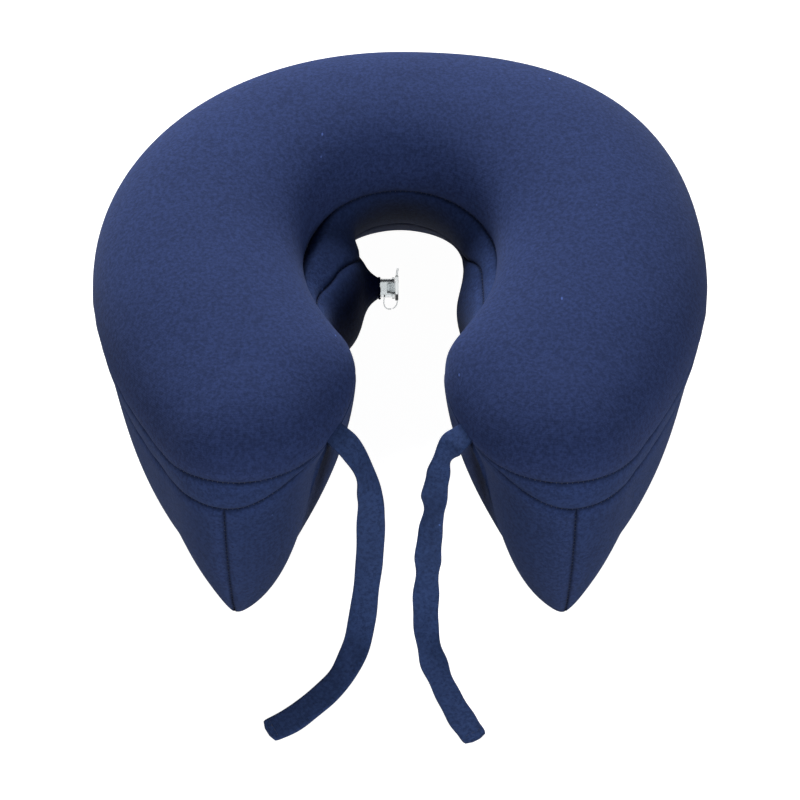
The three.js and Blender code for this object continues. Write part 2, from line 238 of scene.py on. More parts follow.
def station(q):
    """Point of the centre line and the direction straight out from it, for the right half."""
    sweep, frontal, tied = (math.radians(a) for a in (SIDE_SWEEP, FRONT_SEAM_TURN, TIE_SEAM_TURN))
    along = np.where(q > 4.5, LAST_PLACE - q, q)
    in_back = along <= 1
    angle = np.where(in_back, (1 - along) * math.pi / 2, -sweep * np.clip(along - 1, 0, 1))
    radius = np.where(in_back, BACK_RADIUS, SIDE_RADIUS)
    shift = np.where(in_back, 0, BACK_RADIUS - SIDE_RADIUS)
    base = np.stack([radius * np.cos(angle) + shift, radius * np.sin(angle) + CENTRE_Y], -1)
    turning = np.interp(q, (2, 3, 4, 5), (-sweep, -frontal, -tied, -sweep - math.pi))
    facing = np.where((q > 2) & (q <= 5), turning, np.where(q > 5, angle + math.pi, angle))
    return base, np.stack([np.cos(facing), np.sin(facing)], -1)


def toe_share(q):
    """How far along its reach to the toe the keel lies at place q."""
    end_turn = np.where(q < FRONT_SEAM, q - 2, (5 - q) / 2)
    along = np.where(q < FRONT_SEAM, q, LAST_PLACE - q)
    to_toe = mix(KEEL_LEAD, 1, smooth(end_turn))
    return np.where(end_turn >= 0, to_toe, KEEL_LEAD * smooth(along - 1))


def bezier(handles, t):
    s = (1 - t)[..., None]
    t = t[..., None]
    a, b, c, d = handles
    return s**3 * a + 3 * s * s * t * b + 3 * s * t * t * c + t**3 * d


def skin(loop, row):
    """Points of the CAD's outer skin, in mm. Loop runs round the U, row from crown to keel."""
    loop, row = np.broadcast_arrays(np.asarray(loop, float), np.asarray(row, float))
    q, left = half_loop(loop)
    base, out = station(q)
    fuller = np.where(left, CORNER_LEFT, CORNER_RIGHT)
    corner = fuller * np.sin(math.pi * np.clip(q, 0, 1)) ** 2
    half, seam_z = at_place("half", q) + corner, at_place("upper_seam", q)

    def at(distance, z):
        flat = base + out * np.asarray(distance)[..., None]
        return np.concatenate([flat, np.broadcast_to(z, q.shape)[..., None]], -1)

    crown = np.zeros_like(q)
    top = bezier(
        (at(crown, CROWN_Z), at(0.74 * half, CROWN_Z), at(half, mix(seam_z, CROWN_Z, 0.6)),
         at(half, seam_z)),
        np.clip(row, 0, 1),
    )
    share = at_place("gusset", q)
    down = np.where(row <= 2, share * (row - 1), mix(share, 1, row - 2))
    toe = math.radians(-FRONT_SEAM_TURN)
    keel = at(at_place("keel_out", q), -SAG)
    keel += (TOE_REACH * toe_share(q))[..., None] * np.array((math.cos(toe), math.sin(toe), 0))
    seam = at(half, seam_z)
    under_seam = np.concatenate([seam[..., :2], keel[..., 2:]], -1)
    foot = mix(keel, under_seam, at_place("foot", q)[..., None])
    shoulder = at(half + at_place("bulge", q), seam_z - at_place("shoulder", q))
    wall = bezier((seam, shoulder, foot, keel), np.clip(down, 0, 1))
    wall[..., 2] = np.maximum(wall[..., 2], 0)
    point = np.where((row <= 1)[..., None], top, wall)
    point[..., 0] = np.where(left, -point[..., 0], point[..., 0])
    return seat_valve(point, row, left & (q > 5) & (row > 1))


def seat_valve(point, row, where):
    """The valve's flange holds the left inner wall flat and pushes it out towards the neck."""
    away = np.hypot(point[..., 1] - VALVE_Y + VALVE_SEAT_LEAD, point[..., 2] - VALVE_Z)
    hold = np.exp(-((away / VALVE_SEAT_RADIUS) ** 4)) * (1 - smooth((row - 2.6) / 0.4)) * where
    point[..., 0] = mix(point[..., 0], VALVE_WALL_X, hold)
    return point


def loop_places(segments, start=0, stop=LOOP):
    """Loop positions of mesh columns, with segments[i] columns from place i to the next."""
    both = [*segments, *reversed(segments)]
    laps = [lap * LOOP + i + np.arange(n) / n for lap in (-1, 0, 1) for i, n in enumerate(both)]
    every = np.concatenate(laps)
    inside = every[(every > start + 1e-6) & (every < stop - 1e-6)]
    return np.concatenate([[start], inside, [stop]])


# ---- inflating the skin ----

SIM_SEGMENTS = (36, 26, 16, 8, 8, 26, 36)
SIM_ROWS = np.concatenate([np.linspace(0, 1, 17), [1.5], np.linspace(2, 3, 21)])
SIM_FRAMES = 20
SIM_CAP = 4.0
SIM_SMOOTHING = 10
SIM_CLOTH = {
    "quality": 5,
    "mass": 0.2,
    "tension_stiffness": 20,
    "compression_stiffness": 8,
    "bending_stiffness": 0.4,
    "use_pressure": True,
    "uniform_pressure_force": 150,
    "vertex_group_mass": "seams",
    "pin_stiffness": 1.0,
}


def welded(points):
    """Vertices and faces of a net of points, (columns, rows, 3), with coincident points shared."""
    columns, rows = points.shape[:2]
    keys = np.round(points.reshape(-1, 3) * 1e5).astype(np.int64)
    _, first, owner = np.unique(keys, axis=0, return_index=True, return_inverse=True)
    owner = owner.reshape(columns, rows)
    return points.reshape(-1, 3)[first], net_faces(owner), owner


def net_faces(index):
    """Faces of a net of vertex numbers, leaving out those that have shrunk to a line."""
    corners = np.stack([index[:-1, :-1], index[1:, :-1], index[1:, 1:], index[:-1, 1:]], -1)
    faces = []
    for ring in corners.reshape(-1, 4).tolist():
        ring = [c for k, c in enumerate(ring) if c != ring[k - 1]]
        if len(ring) > 2:
            faces.append(ring)
    return faces


def seam_hold(loop, row):
    """How firmly the seams hold the cover at a point: 1 on a seam, less between seams."""
    to_upper = np.abs(row - 1) * 8
    to_lower = np.abs(row - 2) * 8
    to_front = np.abs(np.abs(np.mod(loop + 7, LOOP) - 7) - FRONT_SEAM) * 12 + (row < 2) * 9
    to_keel = (3 - row) * 6
    nearest = np.minimum.reduce([to_upper, to_lower, to_front, to_keel])
    return np.exp(-(nearest**2))


def inflate(loop, row):
    """How far air pressure moves each point of the skin, in mm, from a cloth simulation."""
    start = skin(loop, row)
    normals = net_normals(start)
    points, faces, owner = welded(start * MM)
    weights = np.zeros(len(points))
    np.maximum.at(weights, owner.ravel(), seam_hold(loop, row).ravel())
    swell = simulated(points, faces, weights)[owner] / MM - start
    amount = np.clip((swell * normals).sum(-1), 0, SIM_CAP)
    return normals * evened(amount, owner)[..., None]


def simulated(points, faces, weights):
    """Where air pressure has moved the points, which are held firmly where their weight is 1."""
    mesh = bpy.data.meshes.new("inflating")
    mesh.from_pydata(points.tolist(), [], faces)
    body = bpy.data.objects.new("inflating", mesh)
    bpy.context.scene.collection.objects.link(body)
    group = body.vertex_groups.new(name="seams")
    for index, weight in enumerate(weights):
        group.add([index], float(weight), "REPLACE")
    cloth = body.modifiers.new("air", "CLOTH")
    for setting, value in SIM_CLOTH.items():
        setattr(cloth.settings, setting, value)
    cloth.settings.effector_weights.gravity = 0
    cloth.collision_settings.use_self_collision = False
    cloth.point_cache.frame_start = 1
    cloth.point_cache.frame_end = SIM_FRAMES
    for step in range(1, SIM_FRAMES + 1):
        bpy.context.scene.frame_set(step)
    result = body.evaluated_get(bpy.context.evaluated_depsgraph_get()).data
    moved = vertex_floats(result.vertices, "co")
    bpy.data.objects.remove(body)
    bpy.context.scene.frame_set(1)
    return moved


def vertex_floats(items, what):
    """The three floats of each vertex, or of each item of an attribute, as an array."""
    values = np.zeros(len(items) * 3, np.float32)
    items.foreach_get(what, values)
    return values.reshape(-1, 3)


def evened(amount, owner):
    """Smooths small wrinkles out of a net's values, and makes coincident points agree."""
    sharing = np.bincount(owner.ravel())
    for _ in range(SIM_SMOOTHING):
        ring = amount[:-1]
        ring = (np.roll(ring, 1, 0) + 2 * ring + np.roll(ring, -1, 0)) / 4
        inner = (ring[:, :-2] + 2 * ring[:, 1:-1] + ring[:, 2:]) / 4
        ring = np.concatenate([inner[:, :1], inner, ring[:, -1:]], 1)
        amount = np.concatenate([ring, ring[:1]], 0)
        amount = (np.bincount(owner.ravel(), amount.ravel()) / sharing)[owner]
    return amount


def net_normals(points):
    """Outward directions of a net of points that runs round the U and down the wall."""
    across = np.gradient(points, axis=0)
    down = np.gradient(points, axis=1)
    normals = unit(np.cross(across, down))
    normals[:, 0] = (0, 0, 1)
    return normals


# Weights of the neighbours at offsets -1 to 2 on a smooth curve: cubics in the place between.
CURVE = {-1: (-0.5, 1, -0.5, 0), 0: (1.5, -2.5, 0, 1), 1: (-1.5, 2, 0.5, 0), 2: (0.5, -0.5, 0, 0)}


class Cover:
    """The inflated skin, which can be asked for any point of the loop and row."""

    def __init__(self):
        self.loops = loop_places(SIM_SEGMENTS)
        self.rows = SIM_ROWS
        loop, row = np.meshgrid(self.loops, self.rows, indexing="ij")
        self.swell = inflate(loop, row)

    def swelling(self, loop, row):
        """The simulated movement, read between the simulation's points by smooth curves."""
        i = np.interp(np.mod(loop, LOOP), self.loops, np.arange(len(self.loops)))
        j = np.interp(row, self.rows, np.arange(len(self.rows)))
        columns, rows = len(self.loops) - 1, len(self.rows) - 1
        total = 0
        for di in CURVE:
            weight_i = np.polyval(CURVE[di], i - np.floor(i))
            at_i = np.mod(np.floor(i).astype(int) + di, columns)
            for dj in CURVE:
                weight = weight_i * np.polyval(CURVE[dj], j - np.floor(j))
                at_j = np.clip(np.floor(j).astype(int) + dj, 0, rows)
                total = total + weight[..., None] * self.swell[at_i, at_j]
        return total

    def points(self, loop, row):
        """Points of the cover in mm, before its seams are drawn in."""
        loop, row = np.broadcast_arrays(np.asarray(loop, float), np.asarray(row, float))
        row = np.clip(row, 0, 3)
        points = dent(skin(loop, row) + self.swelling(loop, row))
        q, left = half_loop(loop)
        return draw_to_valve(points, left & (q > INNER_GUSSET) & (row > 1))

    def normals(self, loop, row):
        """Outward directions, taken over a few mm so that panels agree on their seams."""
        step_loop, step_row = 0.015, 0.02
        across = self.points(loop + step_loop, row) - self.points(loop - step_loop, row)
        above, below = further_down(loop, row, -step_row), further_down(loop, row, step_row)
        normals = unit(np.cross(across, self.points(loop, below) - self.points(loop, above)))
        normals = np.where((row <= step_row)[..., None], (0, 0, 1), normals)
        return np.where((row >= 3 - step_row)[..., None], (0, 0, -1), normals)


def further_down(loop, row, step):
    """The row that lies a share of the wall's height further down, however narrow the gusset is."""
    share = at_place("gusset", half_loop(loop)[0])
    wall = np.where(row <= 2, share * (row - 1), mix(share, 1, row - 2))
    down = np.where(row <= 1, row - 1, wall) + step
    below = np.where(down < share, 1 + down / share, 2 + (down - share) / (1 - share))
    return np.where(down <= 0, 1 + down, below)


def valve_distance(points):
    """Distance from the valve's axis, in mm, for points on the valve's side of the U."""
    away = np.hypot(points[..., 1] - VALVE_Y, points[..., 2] - VALVE_Z)
    return away + np.where(points[..., 0] > 0, 1e3, 0)


def draw_to_valve(points, where):
    """The tight hole in the cover rides up the valve's stem and pulls the knit into a cone."""
    away = np.maximum(valve_distance(points) - HOLE_RADIUS, 0)
    pull = CONE_HEIGHT * np.exp(-away / CONE_REACH) * smooth((CUFF_RADIUS + 6 - away) / 8)
    return points + (pull * where)[..., None] * np.array((1, 0, 0))


# Shallow hollows in the ends of the horns: centre, radii and depth, in mm.
DENTS = (
    ((-112, -86, 122), (30, 20, 26), 1.3),
    ((-74, -104, 120), (26, 17, 24), 1.0),
    ((-50, -54, 128), (32, 22, 24), 0.8),
    ((108, -82, 122), (26, 20, 26), 1.2),
    ((70, -100, 122), (28, 17, 24), 0.9),
    ((120, -24, 126), (22, 34, 24), 0.8),
)


def dent(points):
    for centre, radii, depth in DENTS:
        away = ((points - centre) / radii) ** 2
        points = points - np.exp(-away.sum(-1))[..., None] * np.array((0, 0, depth))
    return points


# ---- panels ----

PANEL_SEGMENTS = (90, 60, 40, 20, 20, 60, 90)


def crease(away):
    """How deep a seam draws the cover in, away mm from it."""
    wide = CREASE_DEPTH * np.exp(-((away / CREASE_WIDTH) ** 2))
    return wide + GROOVE_DEPTH * np.exp(-((away / GROOVE_WIDTH) ** 2))


def gathers(along, away):
    """Small uneven ripples that run off a seam, where its thread draws up the knit."""
    beat = np.sin(along / 2.9) + 0.7 * np.sin(along / 4.3 + 1.3) + 0.8 * np.sin(along / 11 + 0.4)
    return 0.10 * beat * (away / 2.5) * np.exp(1 - away / 2.5)


def sewn(cover, loop, row, seams):
    """Points of a panel's net in mm, with its seams drawn in, and each point's distance to one."""
    points = cover.points(loop, row)
    normals = cover.normals(loop, row)
    down, across = arc(points, 1), arc(points, 0)
    distance_and_along = {
        "top": (down, across[:, :1]),
        "bottom": (down[:, -1:] - down, across[:, -1:]),
        "start": (across, down),
        "end": (across[-1:] - across, down),
    }
    away = np.full(loop.shape, 1e3)
    ripple = np.zeros(loop.shape)
    for seam in seams:
        distance, along = distance_and_along[seam]
        away = np.minimum(away, distance)
        ripple += gathers(along, distance)
    points = points + normals * (ripple - crease(away))[..., None]
    points[..., 2] = np.maximum(points[..., 2], 0)
    return points, normals, away


def tucked(values, seams, normals=None):
    """Repeats a net's values beyond its sewn edges, turned in there as the seam allowance is."""
    pads = [("start" in seams, "end" in seams), ("top" in seams, "bottom" in seams)]
    pads = [tuple(int(x) for x in pair) for pair in pads]
    every = pads + [(0, 0)] * (values.ndim - 2)
    repeated = np.pad(values, every, mode="edge")
    if normals is None:
        return repeated
    turned_in = np.pad(values - normals * SEAM_ALLOWANCE, every, mode="edge")
    inside = np.pad(np.ones(values.shape[:2], bool), pads)
    return np.where(inside[..., None], repeated, turned_in)


def new_object(name, vertices, faces, material):
    mesh = bpy.data.meshes.new(name)
    mesh.from_pydata(np.asarray(vertices).tolist(), [], faces)
    mesh.polygons.foreach_set("use_smooth", [True] * len(mesh.polygons))
    mesh.materials.append(material)
    piece = bpy.data.objects.new(name, mesh)
    bpy.context.scene.collection.objects.link(piece)
    if material.name in SLOTS:
        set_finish(piece, SLOTS[material.name])
    return piece


def net_piece(name, points, material, cloth, away=None):
    """A piece from a net of points in mm, with cloth coordinates and seam distances in metres."""
    index = np.arange(points.shape[0] * points.shape[1]).reshape(points.shape[:2])
    piece = new_object(name, points.reshape(-1, 3) * MM, net_faces(index), material)
    lay_cloth(piece.data, cloth)
    if away is not None:
        seam = piece.data.attributes.new("seam", "FLOAT", "POINT")
        seam.data.foreach_set("value", (away * MM).astype(np.float32).ravel())
    weld(piece.data)
    return piece


def lay_cloth(mesh, cloth):
    """Stores each vertex's cloth coordinates, given in mm, for the knit's pattern to follow."""
    corner = np.zeros(len(mesh.loops), np.int32)
    mesh.loops.foreach_get("vertex_index", corner)
    layer = mesh.uv_layers.new(name="cloth")
    layer.data.foreach_set("uv", (cloth.reshape(-1, 2) * MM)[corner].astype(np.float32).ravel())


def rework(mesh, change):
    """Lets a function change the vertices and faces of a mesh."""
    work = bmesh.new()
    work.from_mesh(mesh)
    change(work)
    work.to_mesh(mesh)
    work.free()


def weld(mesh, distance=1e-5):
    """Joins coincident points, such as those on the crown line and at the end of a horn."""
    rework(mesh, lambda work: bmesh.ops.remove_doubles(work, verts=work.verts, dist=distance))


def wall_cloth(points):
    """Cloth coordinates of a wall panel: along its top edge, and down it."""
    along = np.broadcast_to(arc(points, 0)[:, :1], points.shape[:2])
    return np.stack([along, arc(points, 1)], -1)


def crown_cloth(loop, points):
    """Cloth coordinates of the top panel, laid out flat from the crown line."""
    q, left = half_loop(loop)
    base, out = station(q)
    flat = base + out * arc(points, 1)[..., None]
    flat[..., 0] = np.where(left, -flat[..., 0], flat[..., 0])
    return flat


def make_panel(cover, name, node, loops, row_span, row_count, seams, material, first_row=None):
    """One sewn panel of the cover, which stands for a CAD panel."""
    loop, share = np.meshgrid(loops, graded(row_count), indexing="ij")
    top = row_span[0] if first_row is None else first_row(loop)
    row = mix(top, row_span[1], share)
    points, normals, away = sewn(cover, loop, row, seams)
    cloth = crown_cloth(loop, points) if row_span[0] == 0 else wall_cloth(points)
    net = tucked(points, seams, normals)
    piece = net_piece(name, net, material, tucked(cloth, seams), tucked(away, seams))
    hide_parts(node)
    return piece


def crowded(loops, seam_places, reach=0.12, count=7):
    """Adds columns close to the front seams, where the cover turns into the crease."""
    extra = [place + side * reach * (np.arange(1, count) / count) ** 2
             for place in seam_places for side in (-1, 1)]
    every = np.unique(np.round(np.concatenate([loops, *extra]), 6))
    return every[(every >= loops[0]) & (every <= loops[-1])]


def inner_first_row(loop):
    """The inner panel starts at the upper seam where there is no gusset between them."""
    places = (TIE_SEAM - 0.1, TIE_SEAM, INNER_GUSSET, INNER_GUSSET + 0.1)
    return np.interp(half_loop(loop)[0], places, (2, 1, 1, 2))


def make_cover(cover, knit_top, knit_lower):
    """The five panels of the cover."""
    around = loop_places(PANEL_SEGMENTS)
    right, left = FRONT_SEAM, LOOP - FRONT_SEAM
    outer = crowded(loop_places(PANEL_SEGMENTS, -right, right), (-right, right))
    inner = crowded(loop_places(PANEL_SEGMENTS, right, left), (right, left))
    outer_gusset = loop_places(PANEL_SEGMENTS, -TIE_SEAM, TIE_SEAM)
    inner_gusset = loop_places(PANEL_SEGMENTS, INNER_GUSSET, LOOP - INNER_GUSSET)
    edges = ("top", "bottom", "start", "end")
    panels = (
        ("top_panel", "cover_top_panel", around, (0, 1), 34, ("bottom",), knit_top),
        ("outer_gusset_band", "outer_gusset", outer_gusset, (1, 2), 12, edges, knit_lower),
        ("inner_gusset_band", "inner_gusset", inner_gusset, (1, 2), 14, edges, knit_lower),
        ("outer_wall", "lower_outer_panel", outer, (2, 3), 48, edges, knit_lower),
        ("inner_wall", "lower_inner_panel", inner, (2, 3), 72, edges, knit_lower, inner_first_row),
    )
    return [make_panel(cover, *panel) for panel in panels]


def cut_cuff(inner_wall):
    """Parts the cone of knit round the valve from its panel, as a piece of its own."""
    mesh = inner_wall.data
    points = vertex_floats(mesh.vertices, "co") / MM
    normals = vertex_floats(mesh.vertices, "normal")
    away = valve_distance(points)
    in_hole = away < HOLE_RADIUS
    spokes = unit(points[:, 1:] - (VALVE_Y, VALVE_Z))
    points[in_hole, 1:] = (spokes * HOLE_RADIUS + (VALVE_Y, VALVE_Z))[in_hole]
    points[in_hole, 0] = VALVE_WALL_X + CONE_HEIGHT
    mesh.vertices.foreach_set("co", (points * MM).astype(np.float32).ravel())
    cuff = inner_wall.copy()
    cuff.data = mesh.copy()
    cuff.name = "valve_cuff"
    bpy.context.scene.collection.objects.link(cuff)
    for key in [k for k in cuff.keys() if k.startswith("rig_") and k != "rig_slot"]:
        del cuff[key]
    keep_faces(inner_wall, lambda ring: away[ring].max() >= CUFF_RADIUS, normals)
    keep_faces(
        cuff, lambda ring: away[ring].max() < CUFF_RADIUS and not in_hole[ring].all(), normals
    )
    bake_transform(cuff)


def keep_faces(piece, wanted, normals):
    """Keeps the faces of a mesh that are wanted, and the smooth shading it had before the cut."""
    mesh = piece.data
    store = mesh.attributes.new("shading", "FLOAT_VECTOR", "POINT")
    store.data.foreach_set("vector", normals.ravel())

    def drop(work):
        unwanted = [f for f in work.faces if not wanted([v.index for v in f.verts])]
        bmesh.ops.delete(work, geom=unwanted, context="FACES")

    rework(mesh, drop)
    kept = vertex_floats(mesh.attributes["shading"].data, "vector")
    mesh.attributes.remove(mesh.attributes["shading"])
    mesh.normals_split_custom_set_from_vertices(kept.tolist())


def make_film(cover, material):
    """The air bladder inside the cover, with a deep pocket behind the valve for the stem."""
    loop, row = np.meshgrid(
        loop_places(SIM_SEGMENTS),
        np.concatenate([np.linspace(0, 1, 17), np.linspace(1, 3, 33)[1:]]), indexing="ij",
    )
    points = cover.points(loop, row) - cover.normals(loop, row) * FILM_DEPTH
    away = valve_distance(points)
    pocket = smooth((POCKET_RADIUS + 8 - away) / 8) * (row > 1)
    points[..., 0] = mix(points[..., 0], np.minimum(points[..., 0], POCKET_X), pocket)
    low, high = (np.array(corner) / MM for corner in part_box("air_bladder"))
    points = np.clip(points, low + FILM_DEPTH, high - FILM_DEPTH)
    film = net_piece("bladder_film", points, material, wall_cloth(points))
    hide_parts("air_bladder")
    return film


# ---- thread ----

THREAD_RADIUS = 0.12
THREAD_SPAN = 0.5


def tube(path, radius, sides=6):
    """Points of tubes round many paths: (tubes, steps, 3) gives (tubes, steps, sides, 3)."""
    forward = unit(np.gradient(path, axis=-2))
    guide = np.where(np.abs(forward[..., 2:]) > 0.9, (1.0, 0, 0), (0, 0, 1.0))
    first = unit(np.cross(forward, guide))
    second = np.cross(forward, first)
    turn = (np.arange(sides) * 2 * math.pi / sides)[:, None]
    ring = first[..., None, :] * np.cos(turn) + second[..., None, :] * np.sin(turn)
    return path[..., None, :] + ring * radius


def tube_faces(steps, sides, offset=0, capped=True):
    faces = []
    for i in range(steps - 1):
        for k in range(sides):
            a, b = offset + i * sides + k, offset + i * sides + (k + 1) % sides
            faces.append((a, a + sides, b + sides, b))
    if capped:
        faces.append(tuple(offset + k for k in range(sides)))
        faces.append(tuple(offset + (steps - 1) * sides + k for k in reversed(range(sides))))
    return faces


def read_along(values, distance, spots):
    """Three-part values that are known at some distances, read at other spots."""
    return np.stack([np.interp(spots, distance, values[:, k]) for k in range(3)], -1)


def stitch_row(name, line, normals, material, depth, span=THREAD_SPAN, along=False):
    """Evenly spaced stitches on a line of points in mm: bars across a seam, or dashes along it."""
    distance = arc(line, 0)
    count = max(int(distance[-1] / STITCH_PITCH), 2)
    spots = (np.arange(count) + 0.5) * distance[-1] / count
    centre = read_along(line, distance, spots)
    normal = unit(read_along(normals, distance, spots))
    forward = unit(read_along(np.gradient(line, axis=0), distance, spots))
    across = forward if along else unit(np.cross(normal, forward))
    sway = 0.12 * np.sin(spots * 1.7)[:, None] * forward
    steps = np.linspace(-1, 1, 5)
    arch = 0.22 * (1 - steps**2) - 0.1
    path = (
        centre[:, None] + across[:, None] * (steps * span)[None, :, None]
        + normal[:, None] * (arch - depth)[None, :, None] + sway[:, None] * steps[None, :, None]
    )
    rings = tube(path, THREAD_RADIUS)
    size = rings.shape[1] * rings.shape[2]
    faces = [f for i in range(count) for f in tube_faces(5, 6, offset=i * size)]
    return new_object(name, rings.reshape(-1, 3) * MM, faces, material)


def make_threads(cover, material):
    """The thread in every seam of the cover, a separate piece for each seam."""
    around = loop_places(PANEL_SEGMENTS)
    outer_gusset = loop_places(PANEL_SEGMENTS, -TIE_SEAM, TIE_SEAM)
    inner_gusset = loop_places(PANEL_SEGMENTS, INNER_GUSSET, LOOP - INNER_GUSSET)
    wall_rows = np.linspace(2.02, 2.96, 60)
    seams = {
        "thread_upper_seam": (around, np.ones_like(around)),
        "thread_outer_lower_seam": (outer_gusset, np.full_like(outer_gusset, 2)),
        "thread_inner_lower_seam": (inner_gusset, np.full_like(inner_gusset, 2)),
        "thread_front_seam_right": (np.full_like(wall_rows, FRONT_SEAM), wall_rows),
        "thread_front_seam_left": (np.full_like(wall_rows, -FRONT_SEAM), wall_rows),
    }
    bottom = CREASE_DEPTH + GROOVE_DEPTH * 0.75
    return [
        stitch_row(name, cover.points(*seam), cover.normals(*seam), material, bottom)
        for name, seam in seams.items()
    ]


# ---- ties ----

TIE_STEP = 1.2
TIE_SIDES = 32
TIE_ROOT = 7.0
TIE_LIFT = 0.15
HEM_INSET = 3.2


def curve_through(points, spacing):
    """Evenly spaced points on a smooth curve through the given ones."""
    points = np.array(points, float)
    knots = arc(points, 0)
    slope = np.gradient(points, knots, axis=0)
    fine = np.linspace(0, knots[-1], 4 * int(knots[-1] / spacing))
    i = np.clip(np.searchsorted(knots, fine, side="right") - 1, 0, len(knots) - 2)
    width = (knots[i + 1] - knots[i])[:, None]
    t = (fine[:, None] - knots[i][:, None]) / width
    start = (2 * t**3 - 3 * t * t + 1) * points[i] + (t**3 - 2 * t * t + t) * width * slope[i]
    end = (3 * t * t - 2 * t**3) * points[i + 1] + (t**3 - t * t) * width * slope[i + 1]
    dense = start + end
    length = arc(dense, 0)
    even = np.linspace(0, length[-1], int(length[-1] / spacing) + 1)
    return read_along(dense, length, even)


def bump_at(s, place, reach):
    return np.exp(-(((s - place) / reach) ** 2))


def left_tie_shape(s, length):
    """Half width, half thickness, twist and edge ripple along the left tie, in mm and radians."""
    width = TIE_WIDTH / 2 * (1 + 0.03 * np.sin(s / 9 + 0.5) + 0.02 * np.sin(s / 4.1))
    thickness = TIE_THICKNESS / 2 * (1 + 0.08 * np.sin(s / 13))
    twist = 0.10 * np.sin(s / 31) + 0.22 * bump_at(s, 26, 12)
    ripple = 0.35 * np.sin(s / 7.3) + 0.25 * np.sin(s / 3.9 + 2)
    return width, thickness, twist, ripple


def right_tie_shape(s, length):
    """The same for the right tie, which is folded near its root, creased, and rolled at its end."""
    width = TIE_WIDTH / 2 * (0.93 + 0.05 * np.sin(s / 5.2) + 0.04 * np.sin(s / 3.1 + 1))
    width = width * (1 - 0.28 * bump_at(s, 17, 6))
    knob = bump_at(length - s, 4, 3.4)
    thickness = TIE_THICKNESS / 2 * (1 + 0.1 * np.sin(s / 8) + 0.9 * knob)
    twist = 0.9 * bump_at(s, 15, 9) - 0.35 * bump_at(s, 48, 12) + 0.25 * bump_at(s, 110, 14)
    ripple = 0.8 * np.sin(s / 5.6 + 1) + 0.45 * np.sin(s / 2.9)
    return width * (1 + 0.08 * knob), thickness, twist, ripple


def strap_section(sides):
    """A flattened tube's outline, as shares of half the width and of half the thickness."""
    turn = np.arange(sides) * 2 * math.pi / sides
    x = np.sign(np.cos(turn)) * np.abs(np.cos(turn)) ** 0.38
    y = np.sign(np.sin(turn)) * np.abs(np.sin(turn)) ** 0.75
    from_fold = np.abs(np.mod(turn + math.pi, 2 * math.pi) - math.pi)
    return x - 0.07 * np.exp(-((from_fold / 0.16) ** 2)), y


def tie_line(route):
    """A tie's middle line from inside the seam to its free end, its direction and its length."""
    line = curve_through(route, TIE_STEP)
    s = arc(line, 0)
    forward = unit(np.gradient(line, axis=0))
    root = line[0] - forward[0] * TIE_ROOT
    line = np.concatenate([[root], line])
    forward = np.concatenate([forward[:1], forward])
    return line, forward, np.concatenate([[-TIE_ROOT], s])


def make_tie(name, node, route, shape, material, thread):
    """A limp flat tie of knit, sewn into the horn's seam, hanging and then lying on the floor."""
    line, forward, s = tie_line(route)
    length = s[-1]
    width, thickness, twist, ripple = shape(s, length)
    free = smooth(s / 10)
    to_end = np.clip((s - (length - 4)) / 4, 0, 1)
    width = width * (1 - to_end**4 * 0.97) ** 0.25
    thickness = thickness * (1 - 0.5 * to_end**3)
    across = unit(np.cross(forward, (0, 0, 1)))
    level = (twist * free * smooth((line[:, 2] - 4) / 10))[:, None]
    turned = across * np.cos(level) + np.cross(across, forward) * np.sin(level)
    face = np.cross(turned, forward)
    x, y = strap_section(TIE_SIDES)
    sway = (ripple * free)[:, None] * x**2 * smooth((line[:, 2] - 1) / 6)[:, None]
    out_wide = (width[:, None] * x)[..., None]
    out_thick = (thickness[:, None] * y + sway)[..., None]
    rings = line[:, None] + turned[:, None] * out_wide + face[:, None] * out_thick
    rings[..., 2] = np.maximum(rings[..., 2], TIE_LIFT)
    tie = new_object(name, rings.reshape(-1, 3) * MM, tube_faces(len(line), TIE_SIDES), material)
    give_strap_cloth(tie, rings, s)
    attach(tie, "pillow")
    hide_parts(node)
    k = np.argmin(np.abs(s - (length - HEM_INSET)))
    hem = make_hem(name + "_hem", line[k], turned[k], face[k], width[k], thickness[k], thread)


def make_hem(name, middle, across, face, width, thickness, thread):
    """A row of stitches across a tie, near its free end."""
    line = middle + across * np.linspace(-0.8, 0.8, 9)[:, None] * width
    normals = np.broadcast_to(face * np.sign(face[2]), line.shape)
    hem = stitch_row(name, line, normals, thread, -thickness, span=0.8, along=True)
    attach(hem, "pillow")
    return hem


def give_strap_cloth(tie, rings, s):
    """Cloth coordinates of a strap: round its section, and along it."""
    girth = np.linalg.norm(np.roll(rings, -1, 1) - rings, axis=-1).mean(0)
    around = np.concatenate([[0], np.cumsum(girth)[:-1]])
    lay_cloth(tie.data, np.stack(np.broadcast_arrays(around[None, :], s[:, None]), -1))


# ---- valve ----

def turned_shape(profile, segments=64):
    """A closed piece turned on the valve's axis from a ring of (x, radius) points."""
    turn = np.arange(segments) * 2 * math.pi / segments
    points = [
        (x, VALVE_Y + r * math.cos(a), VALVE_Z + r * math.sin(a)) for x, r in profile for a in turn
    ]
    faces = []
    for i in range(len(profile)):
        j = (i + 1) % len(profile)
        for k in range(segments):
            m = (k + 1) % segments
            faces.append((i * segments + k, i * segments + m, j * segments + m, j * segments + k))
    return points, faces


def rounded(corners, radius=0.35, steps=4):
    """A ring of (x, radius) corners with each corner rounded off, except on the axis."""
    ring = []
    corners = np.array(corners, float)
    for k, corner in enumerate(corners):
        if corner[1] == 0:
            ring.append(tuple(corner))
            continue
        before, after = corners[k - 1] - corner, corners[(k + 1) % len(corners)] - corner
        reach = min(radius, 0.4 * np.linalg.norm(before), 0.4 * np.linalg.norm(after))
        start, end = corner + unit(before) * reach, corner + unit(after) * reach
        for t in np.linspace(0, 1, steps):
            ring.append(tuple((1 - t) ** 2 * start + 2 * t * (1 - t) * corner + t * t * end))
    return ring


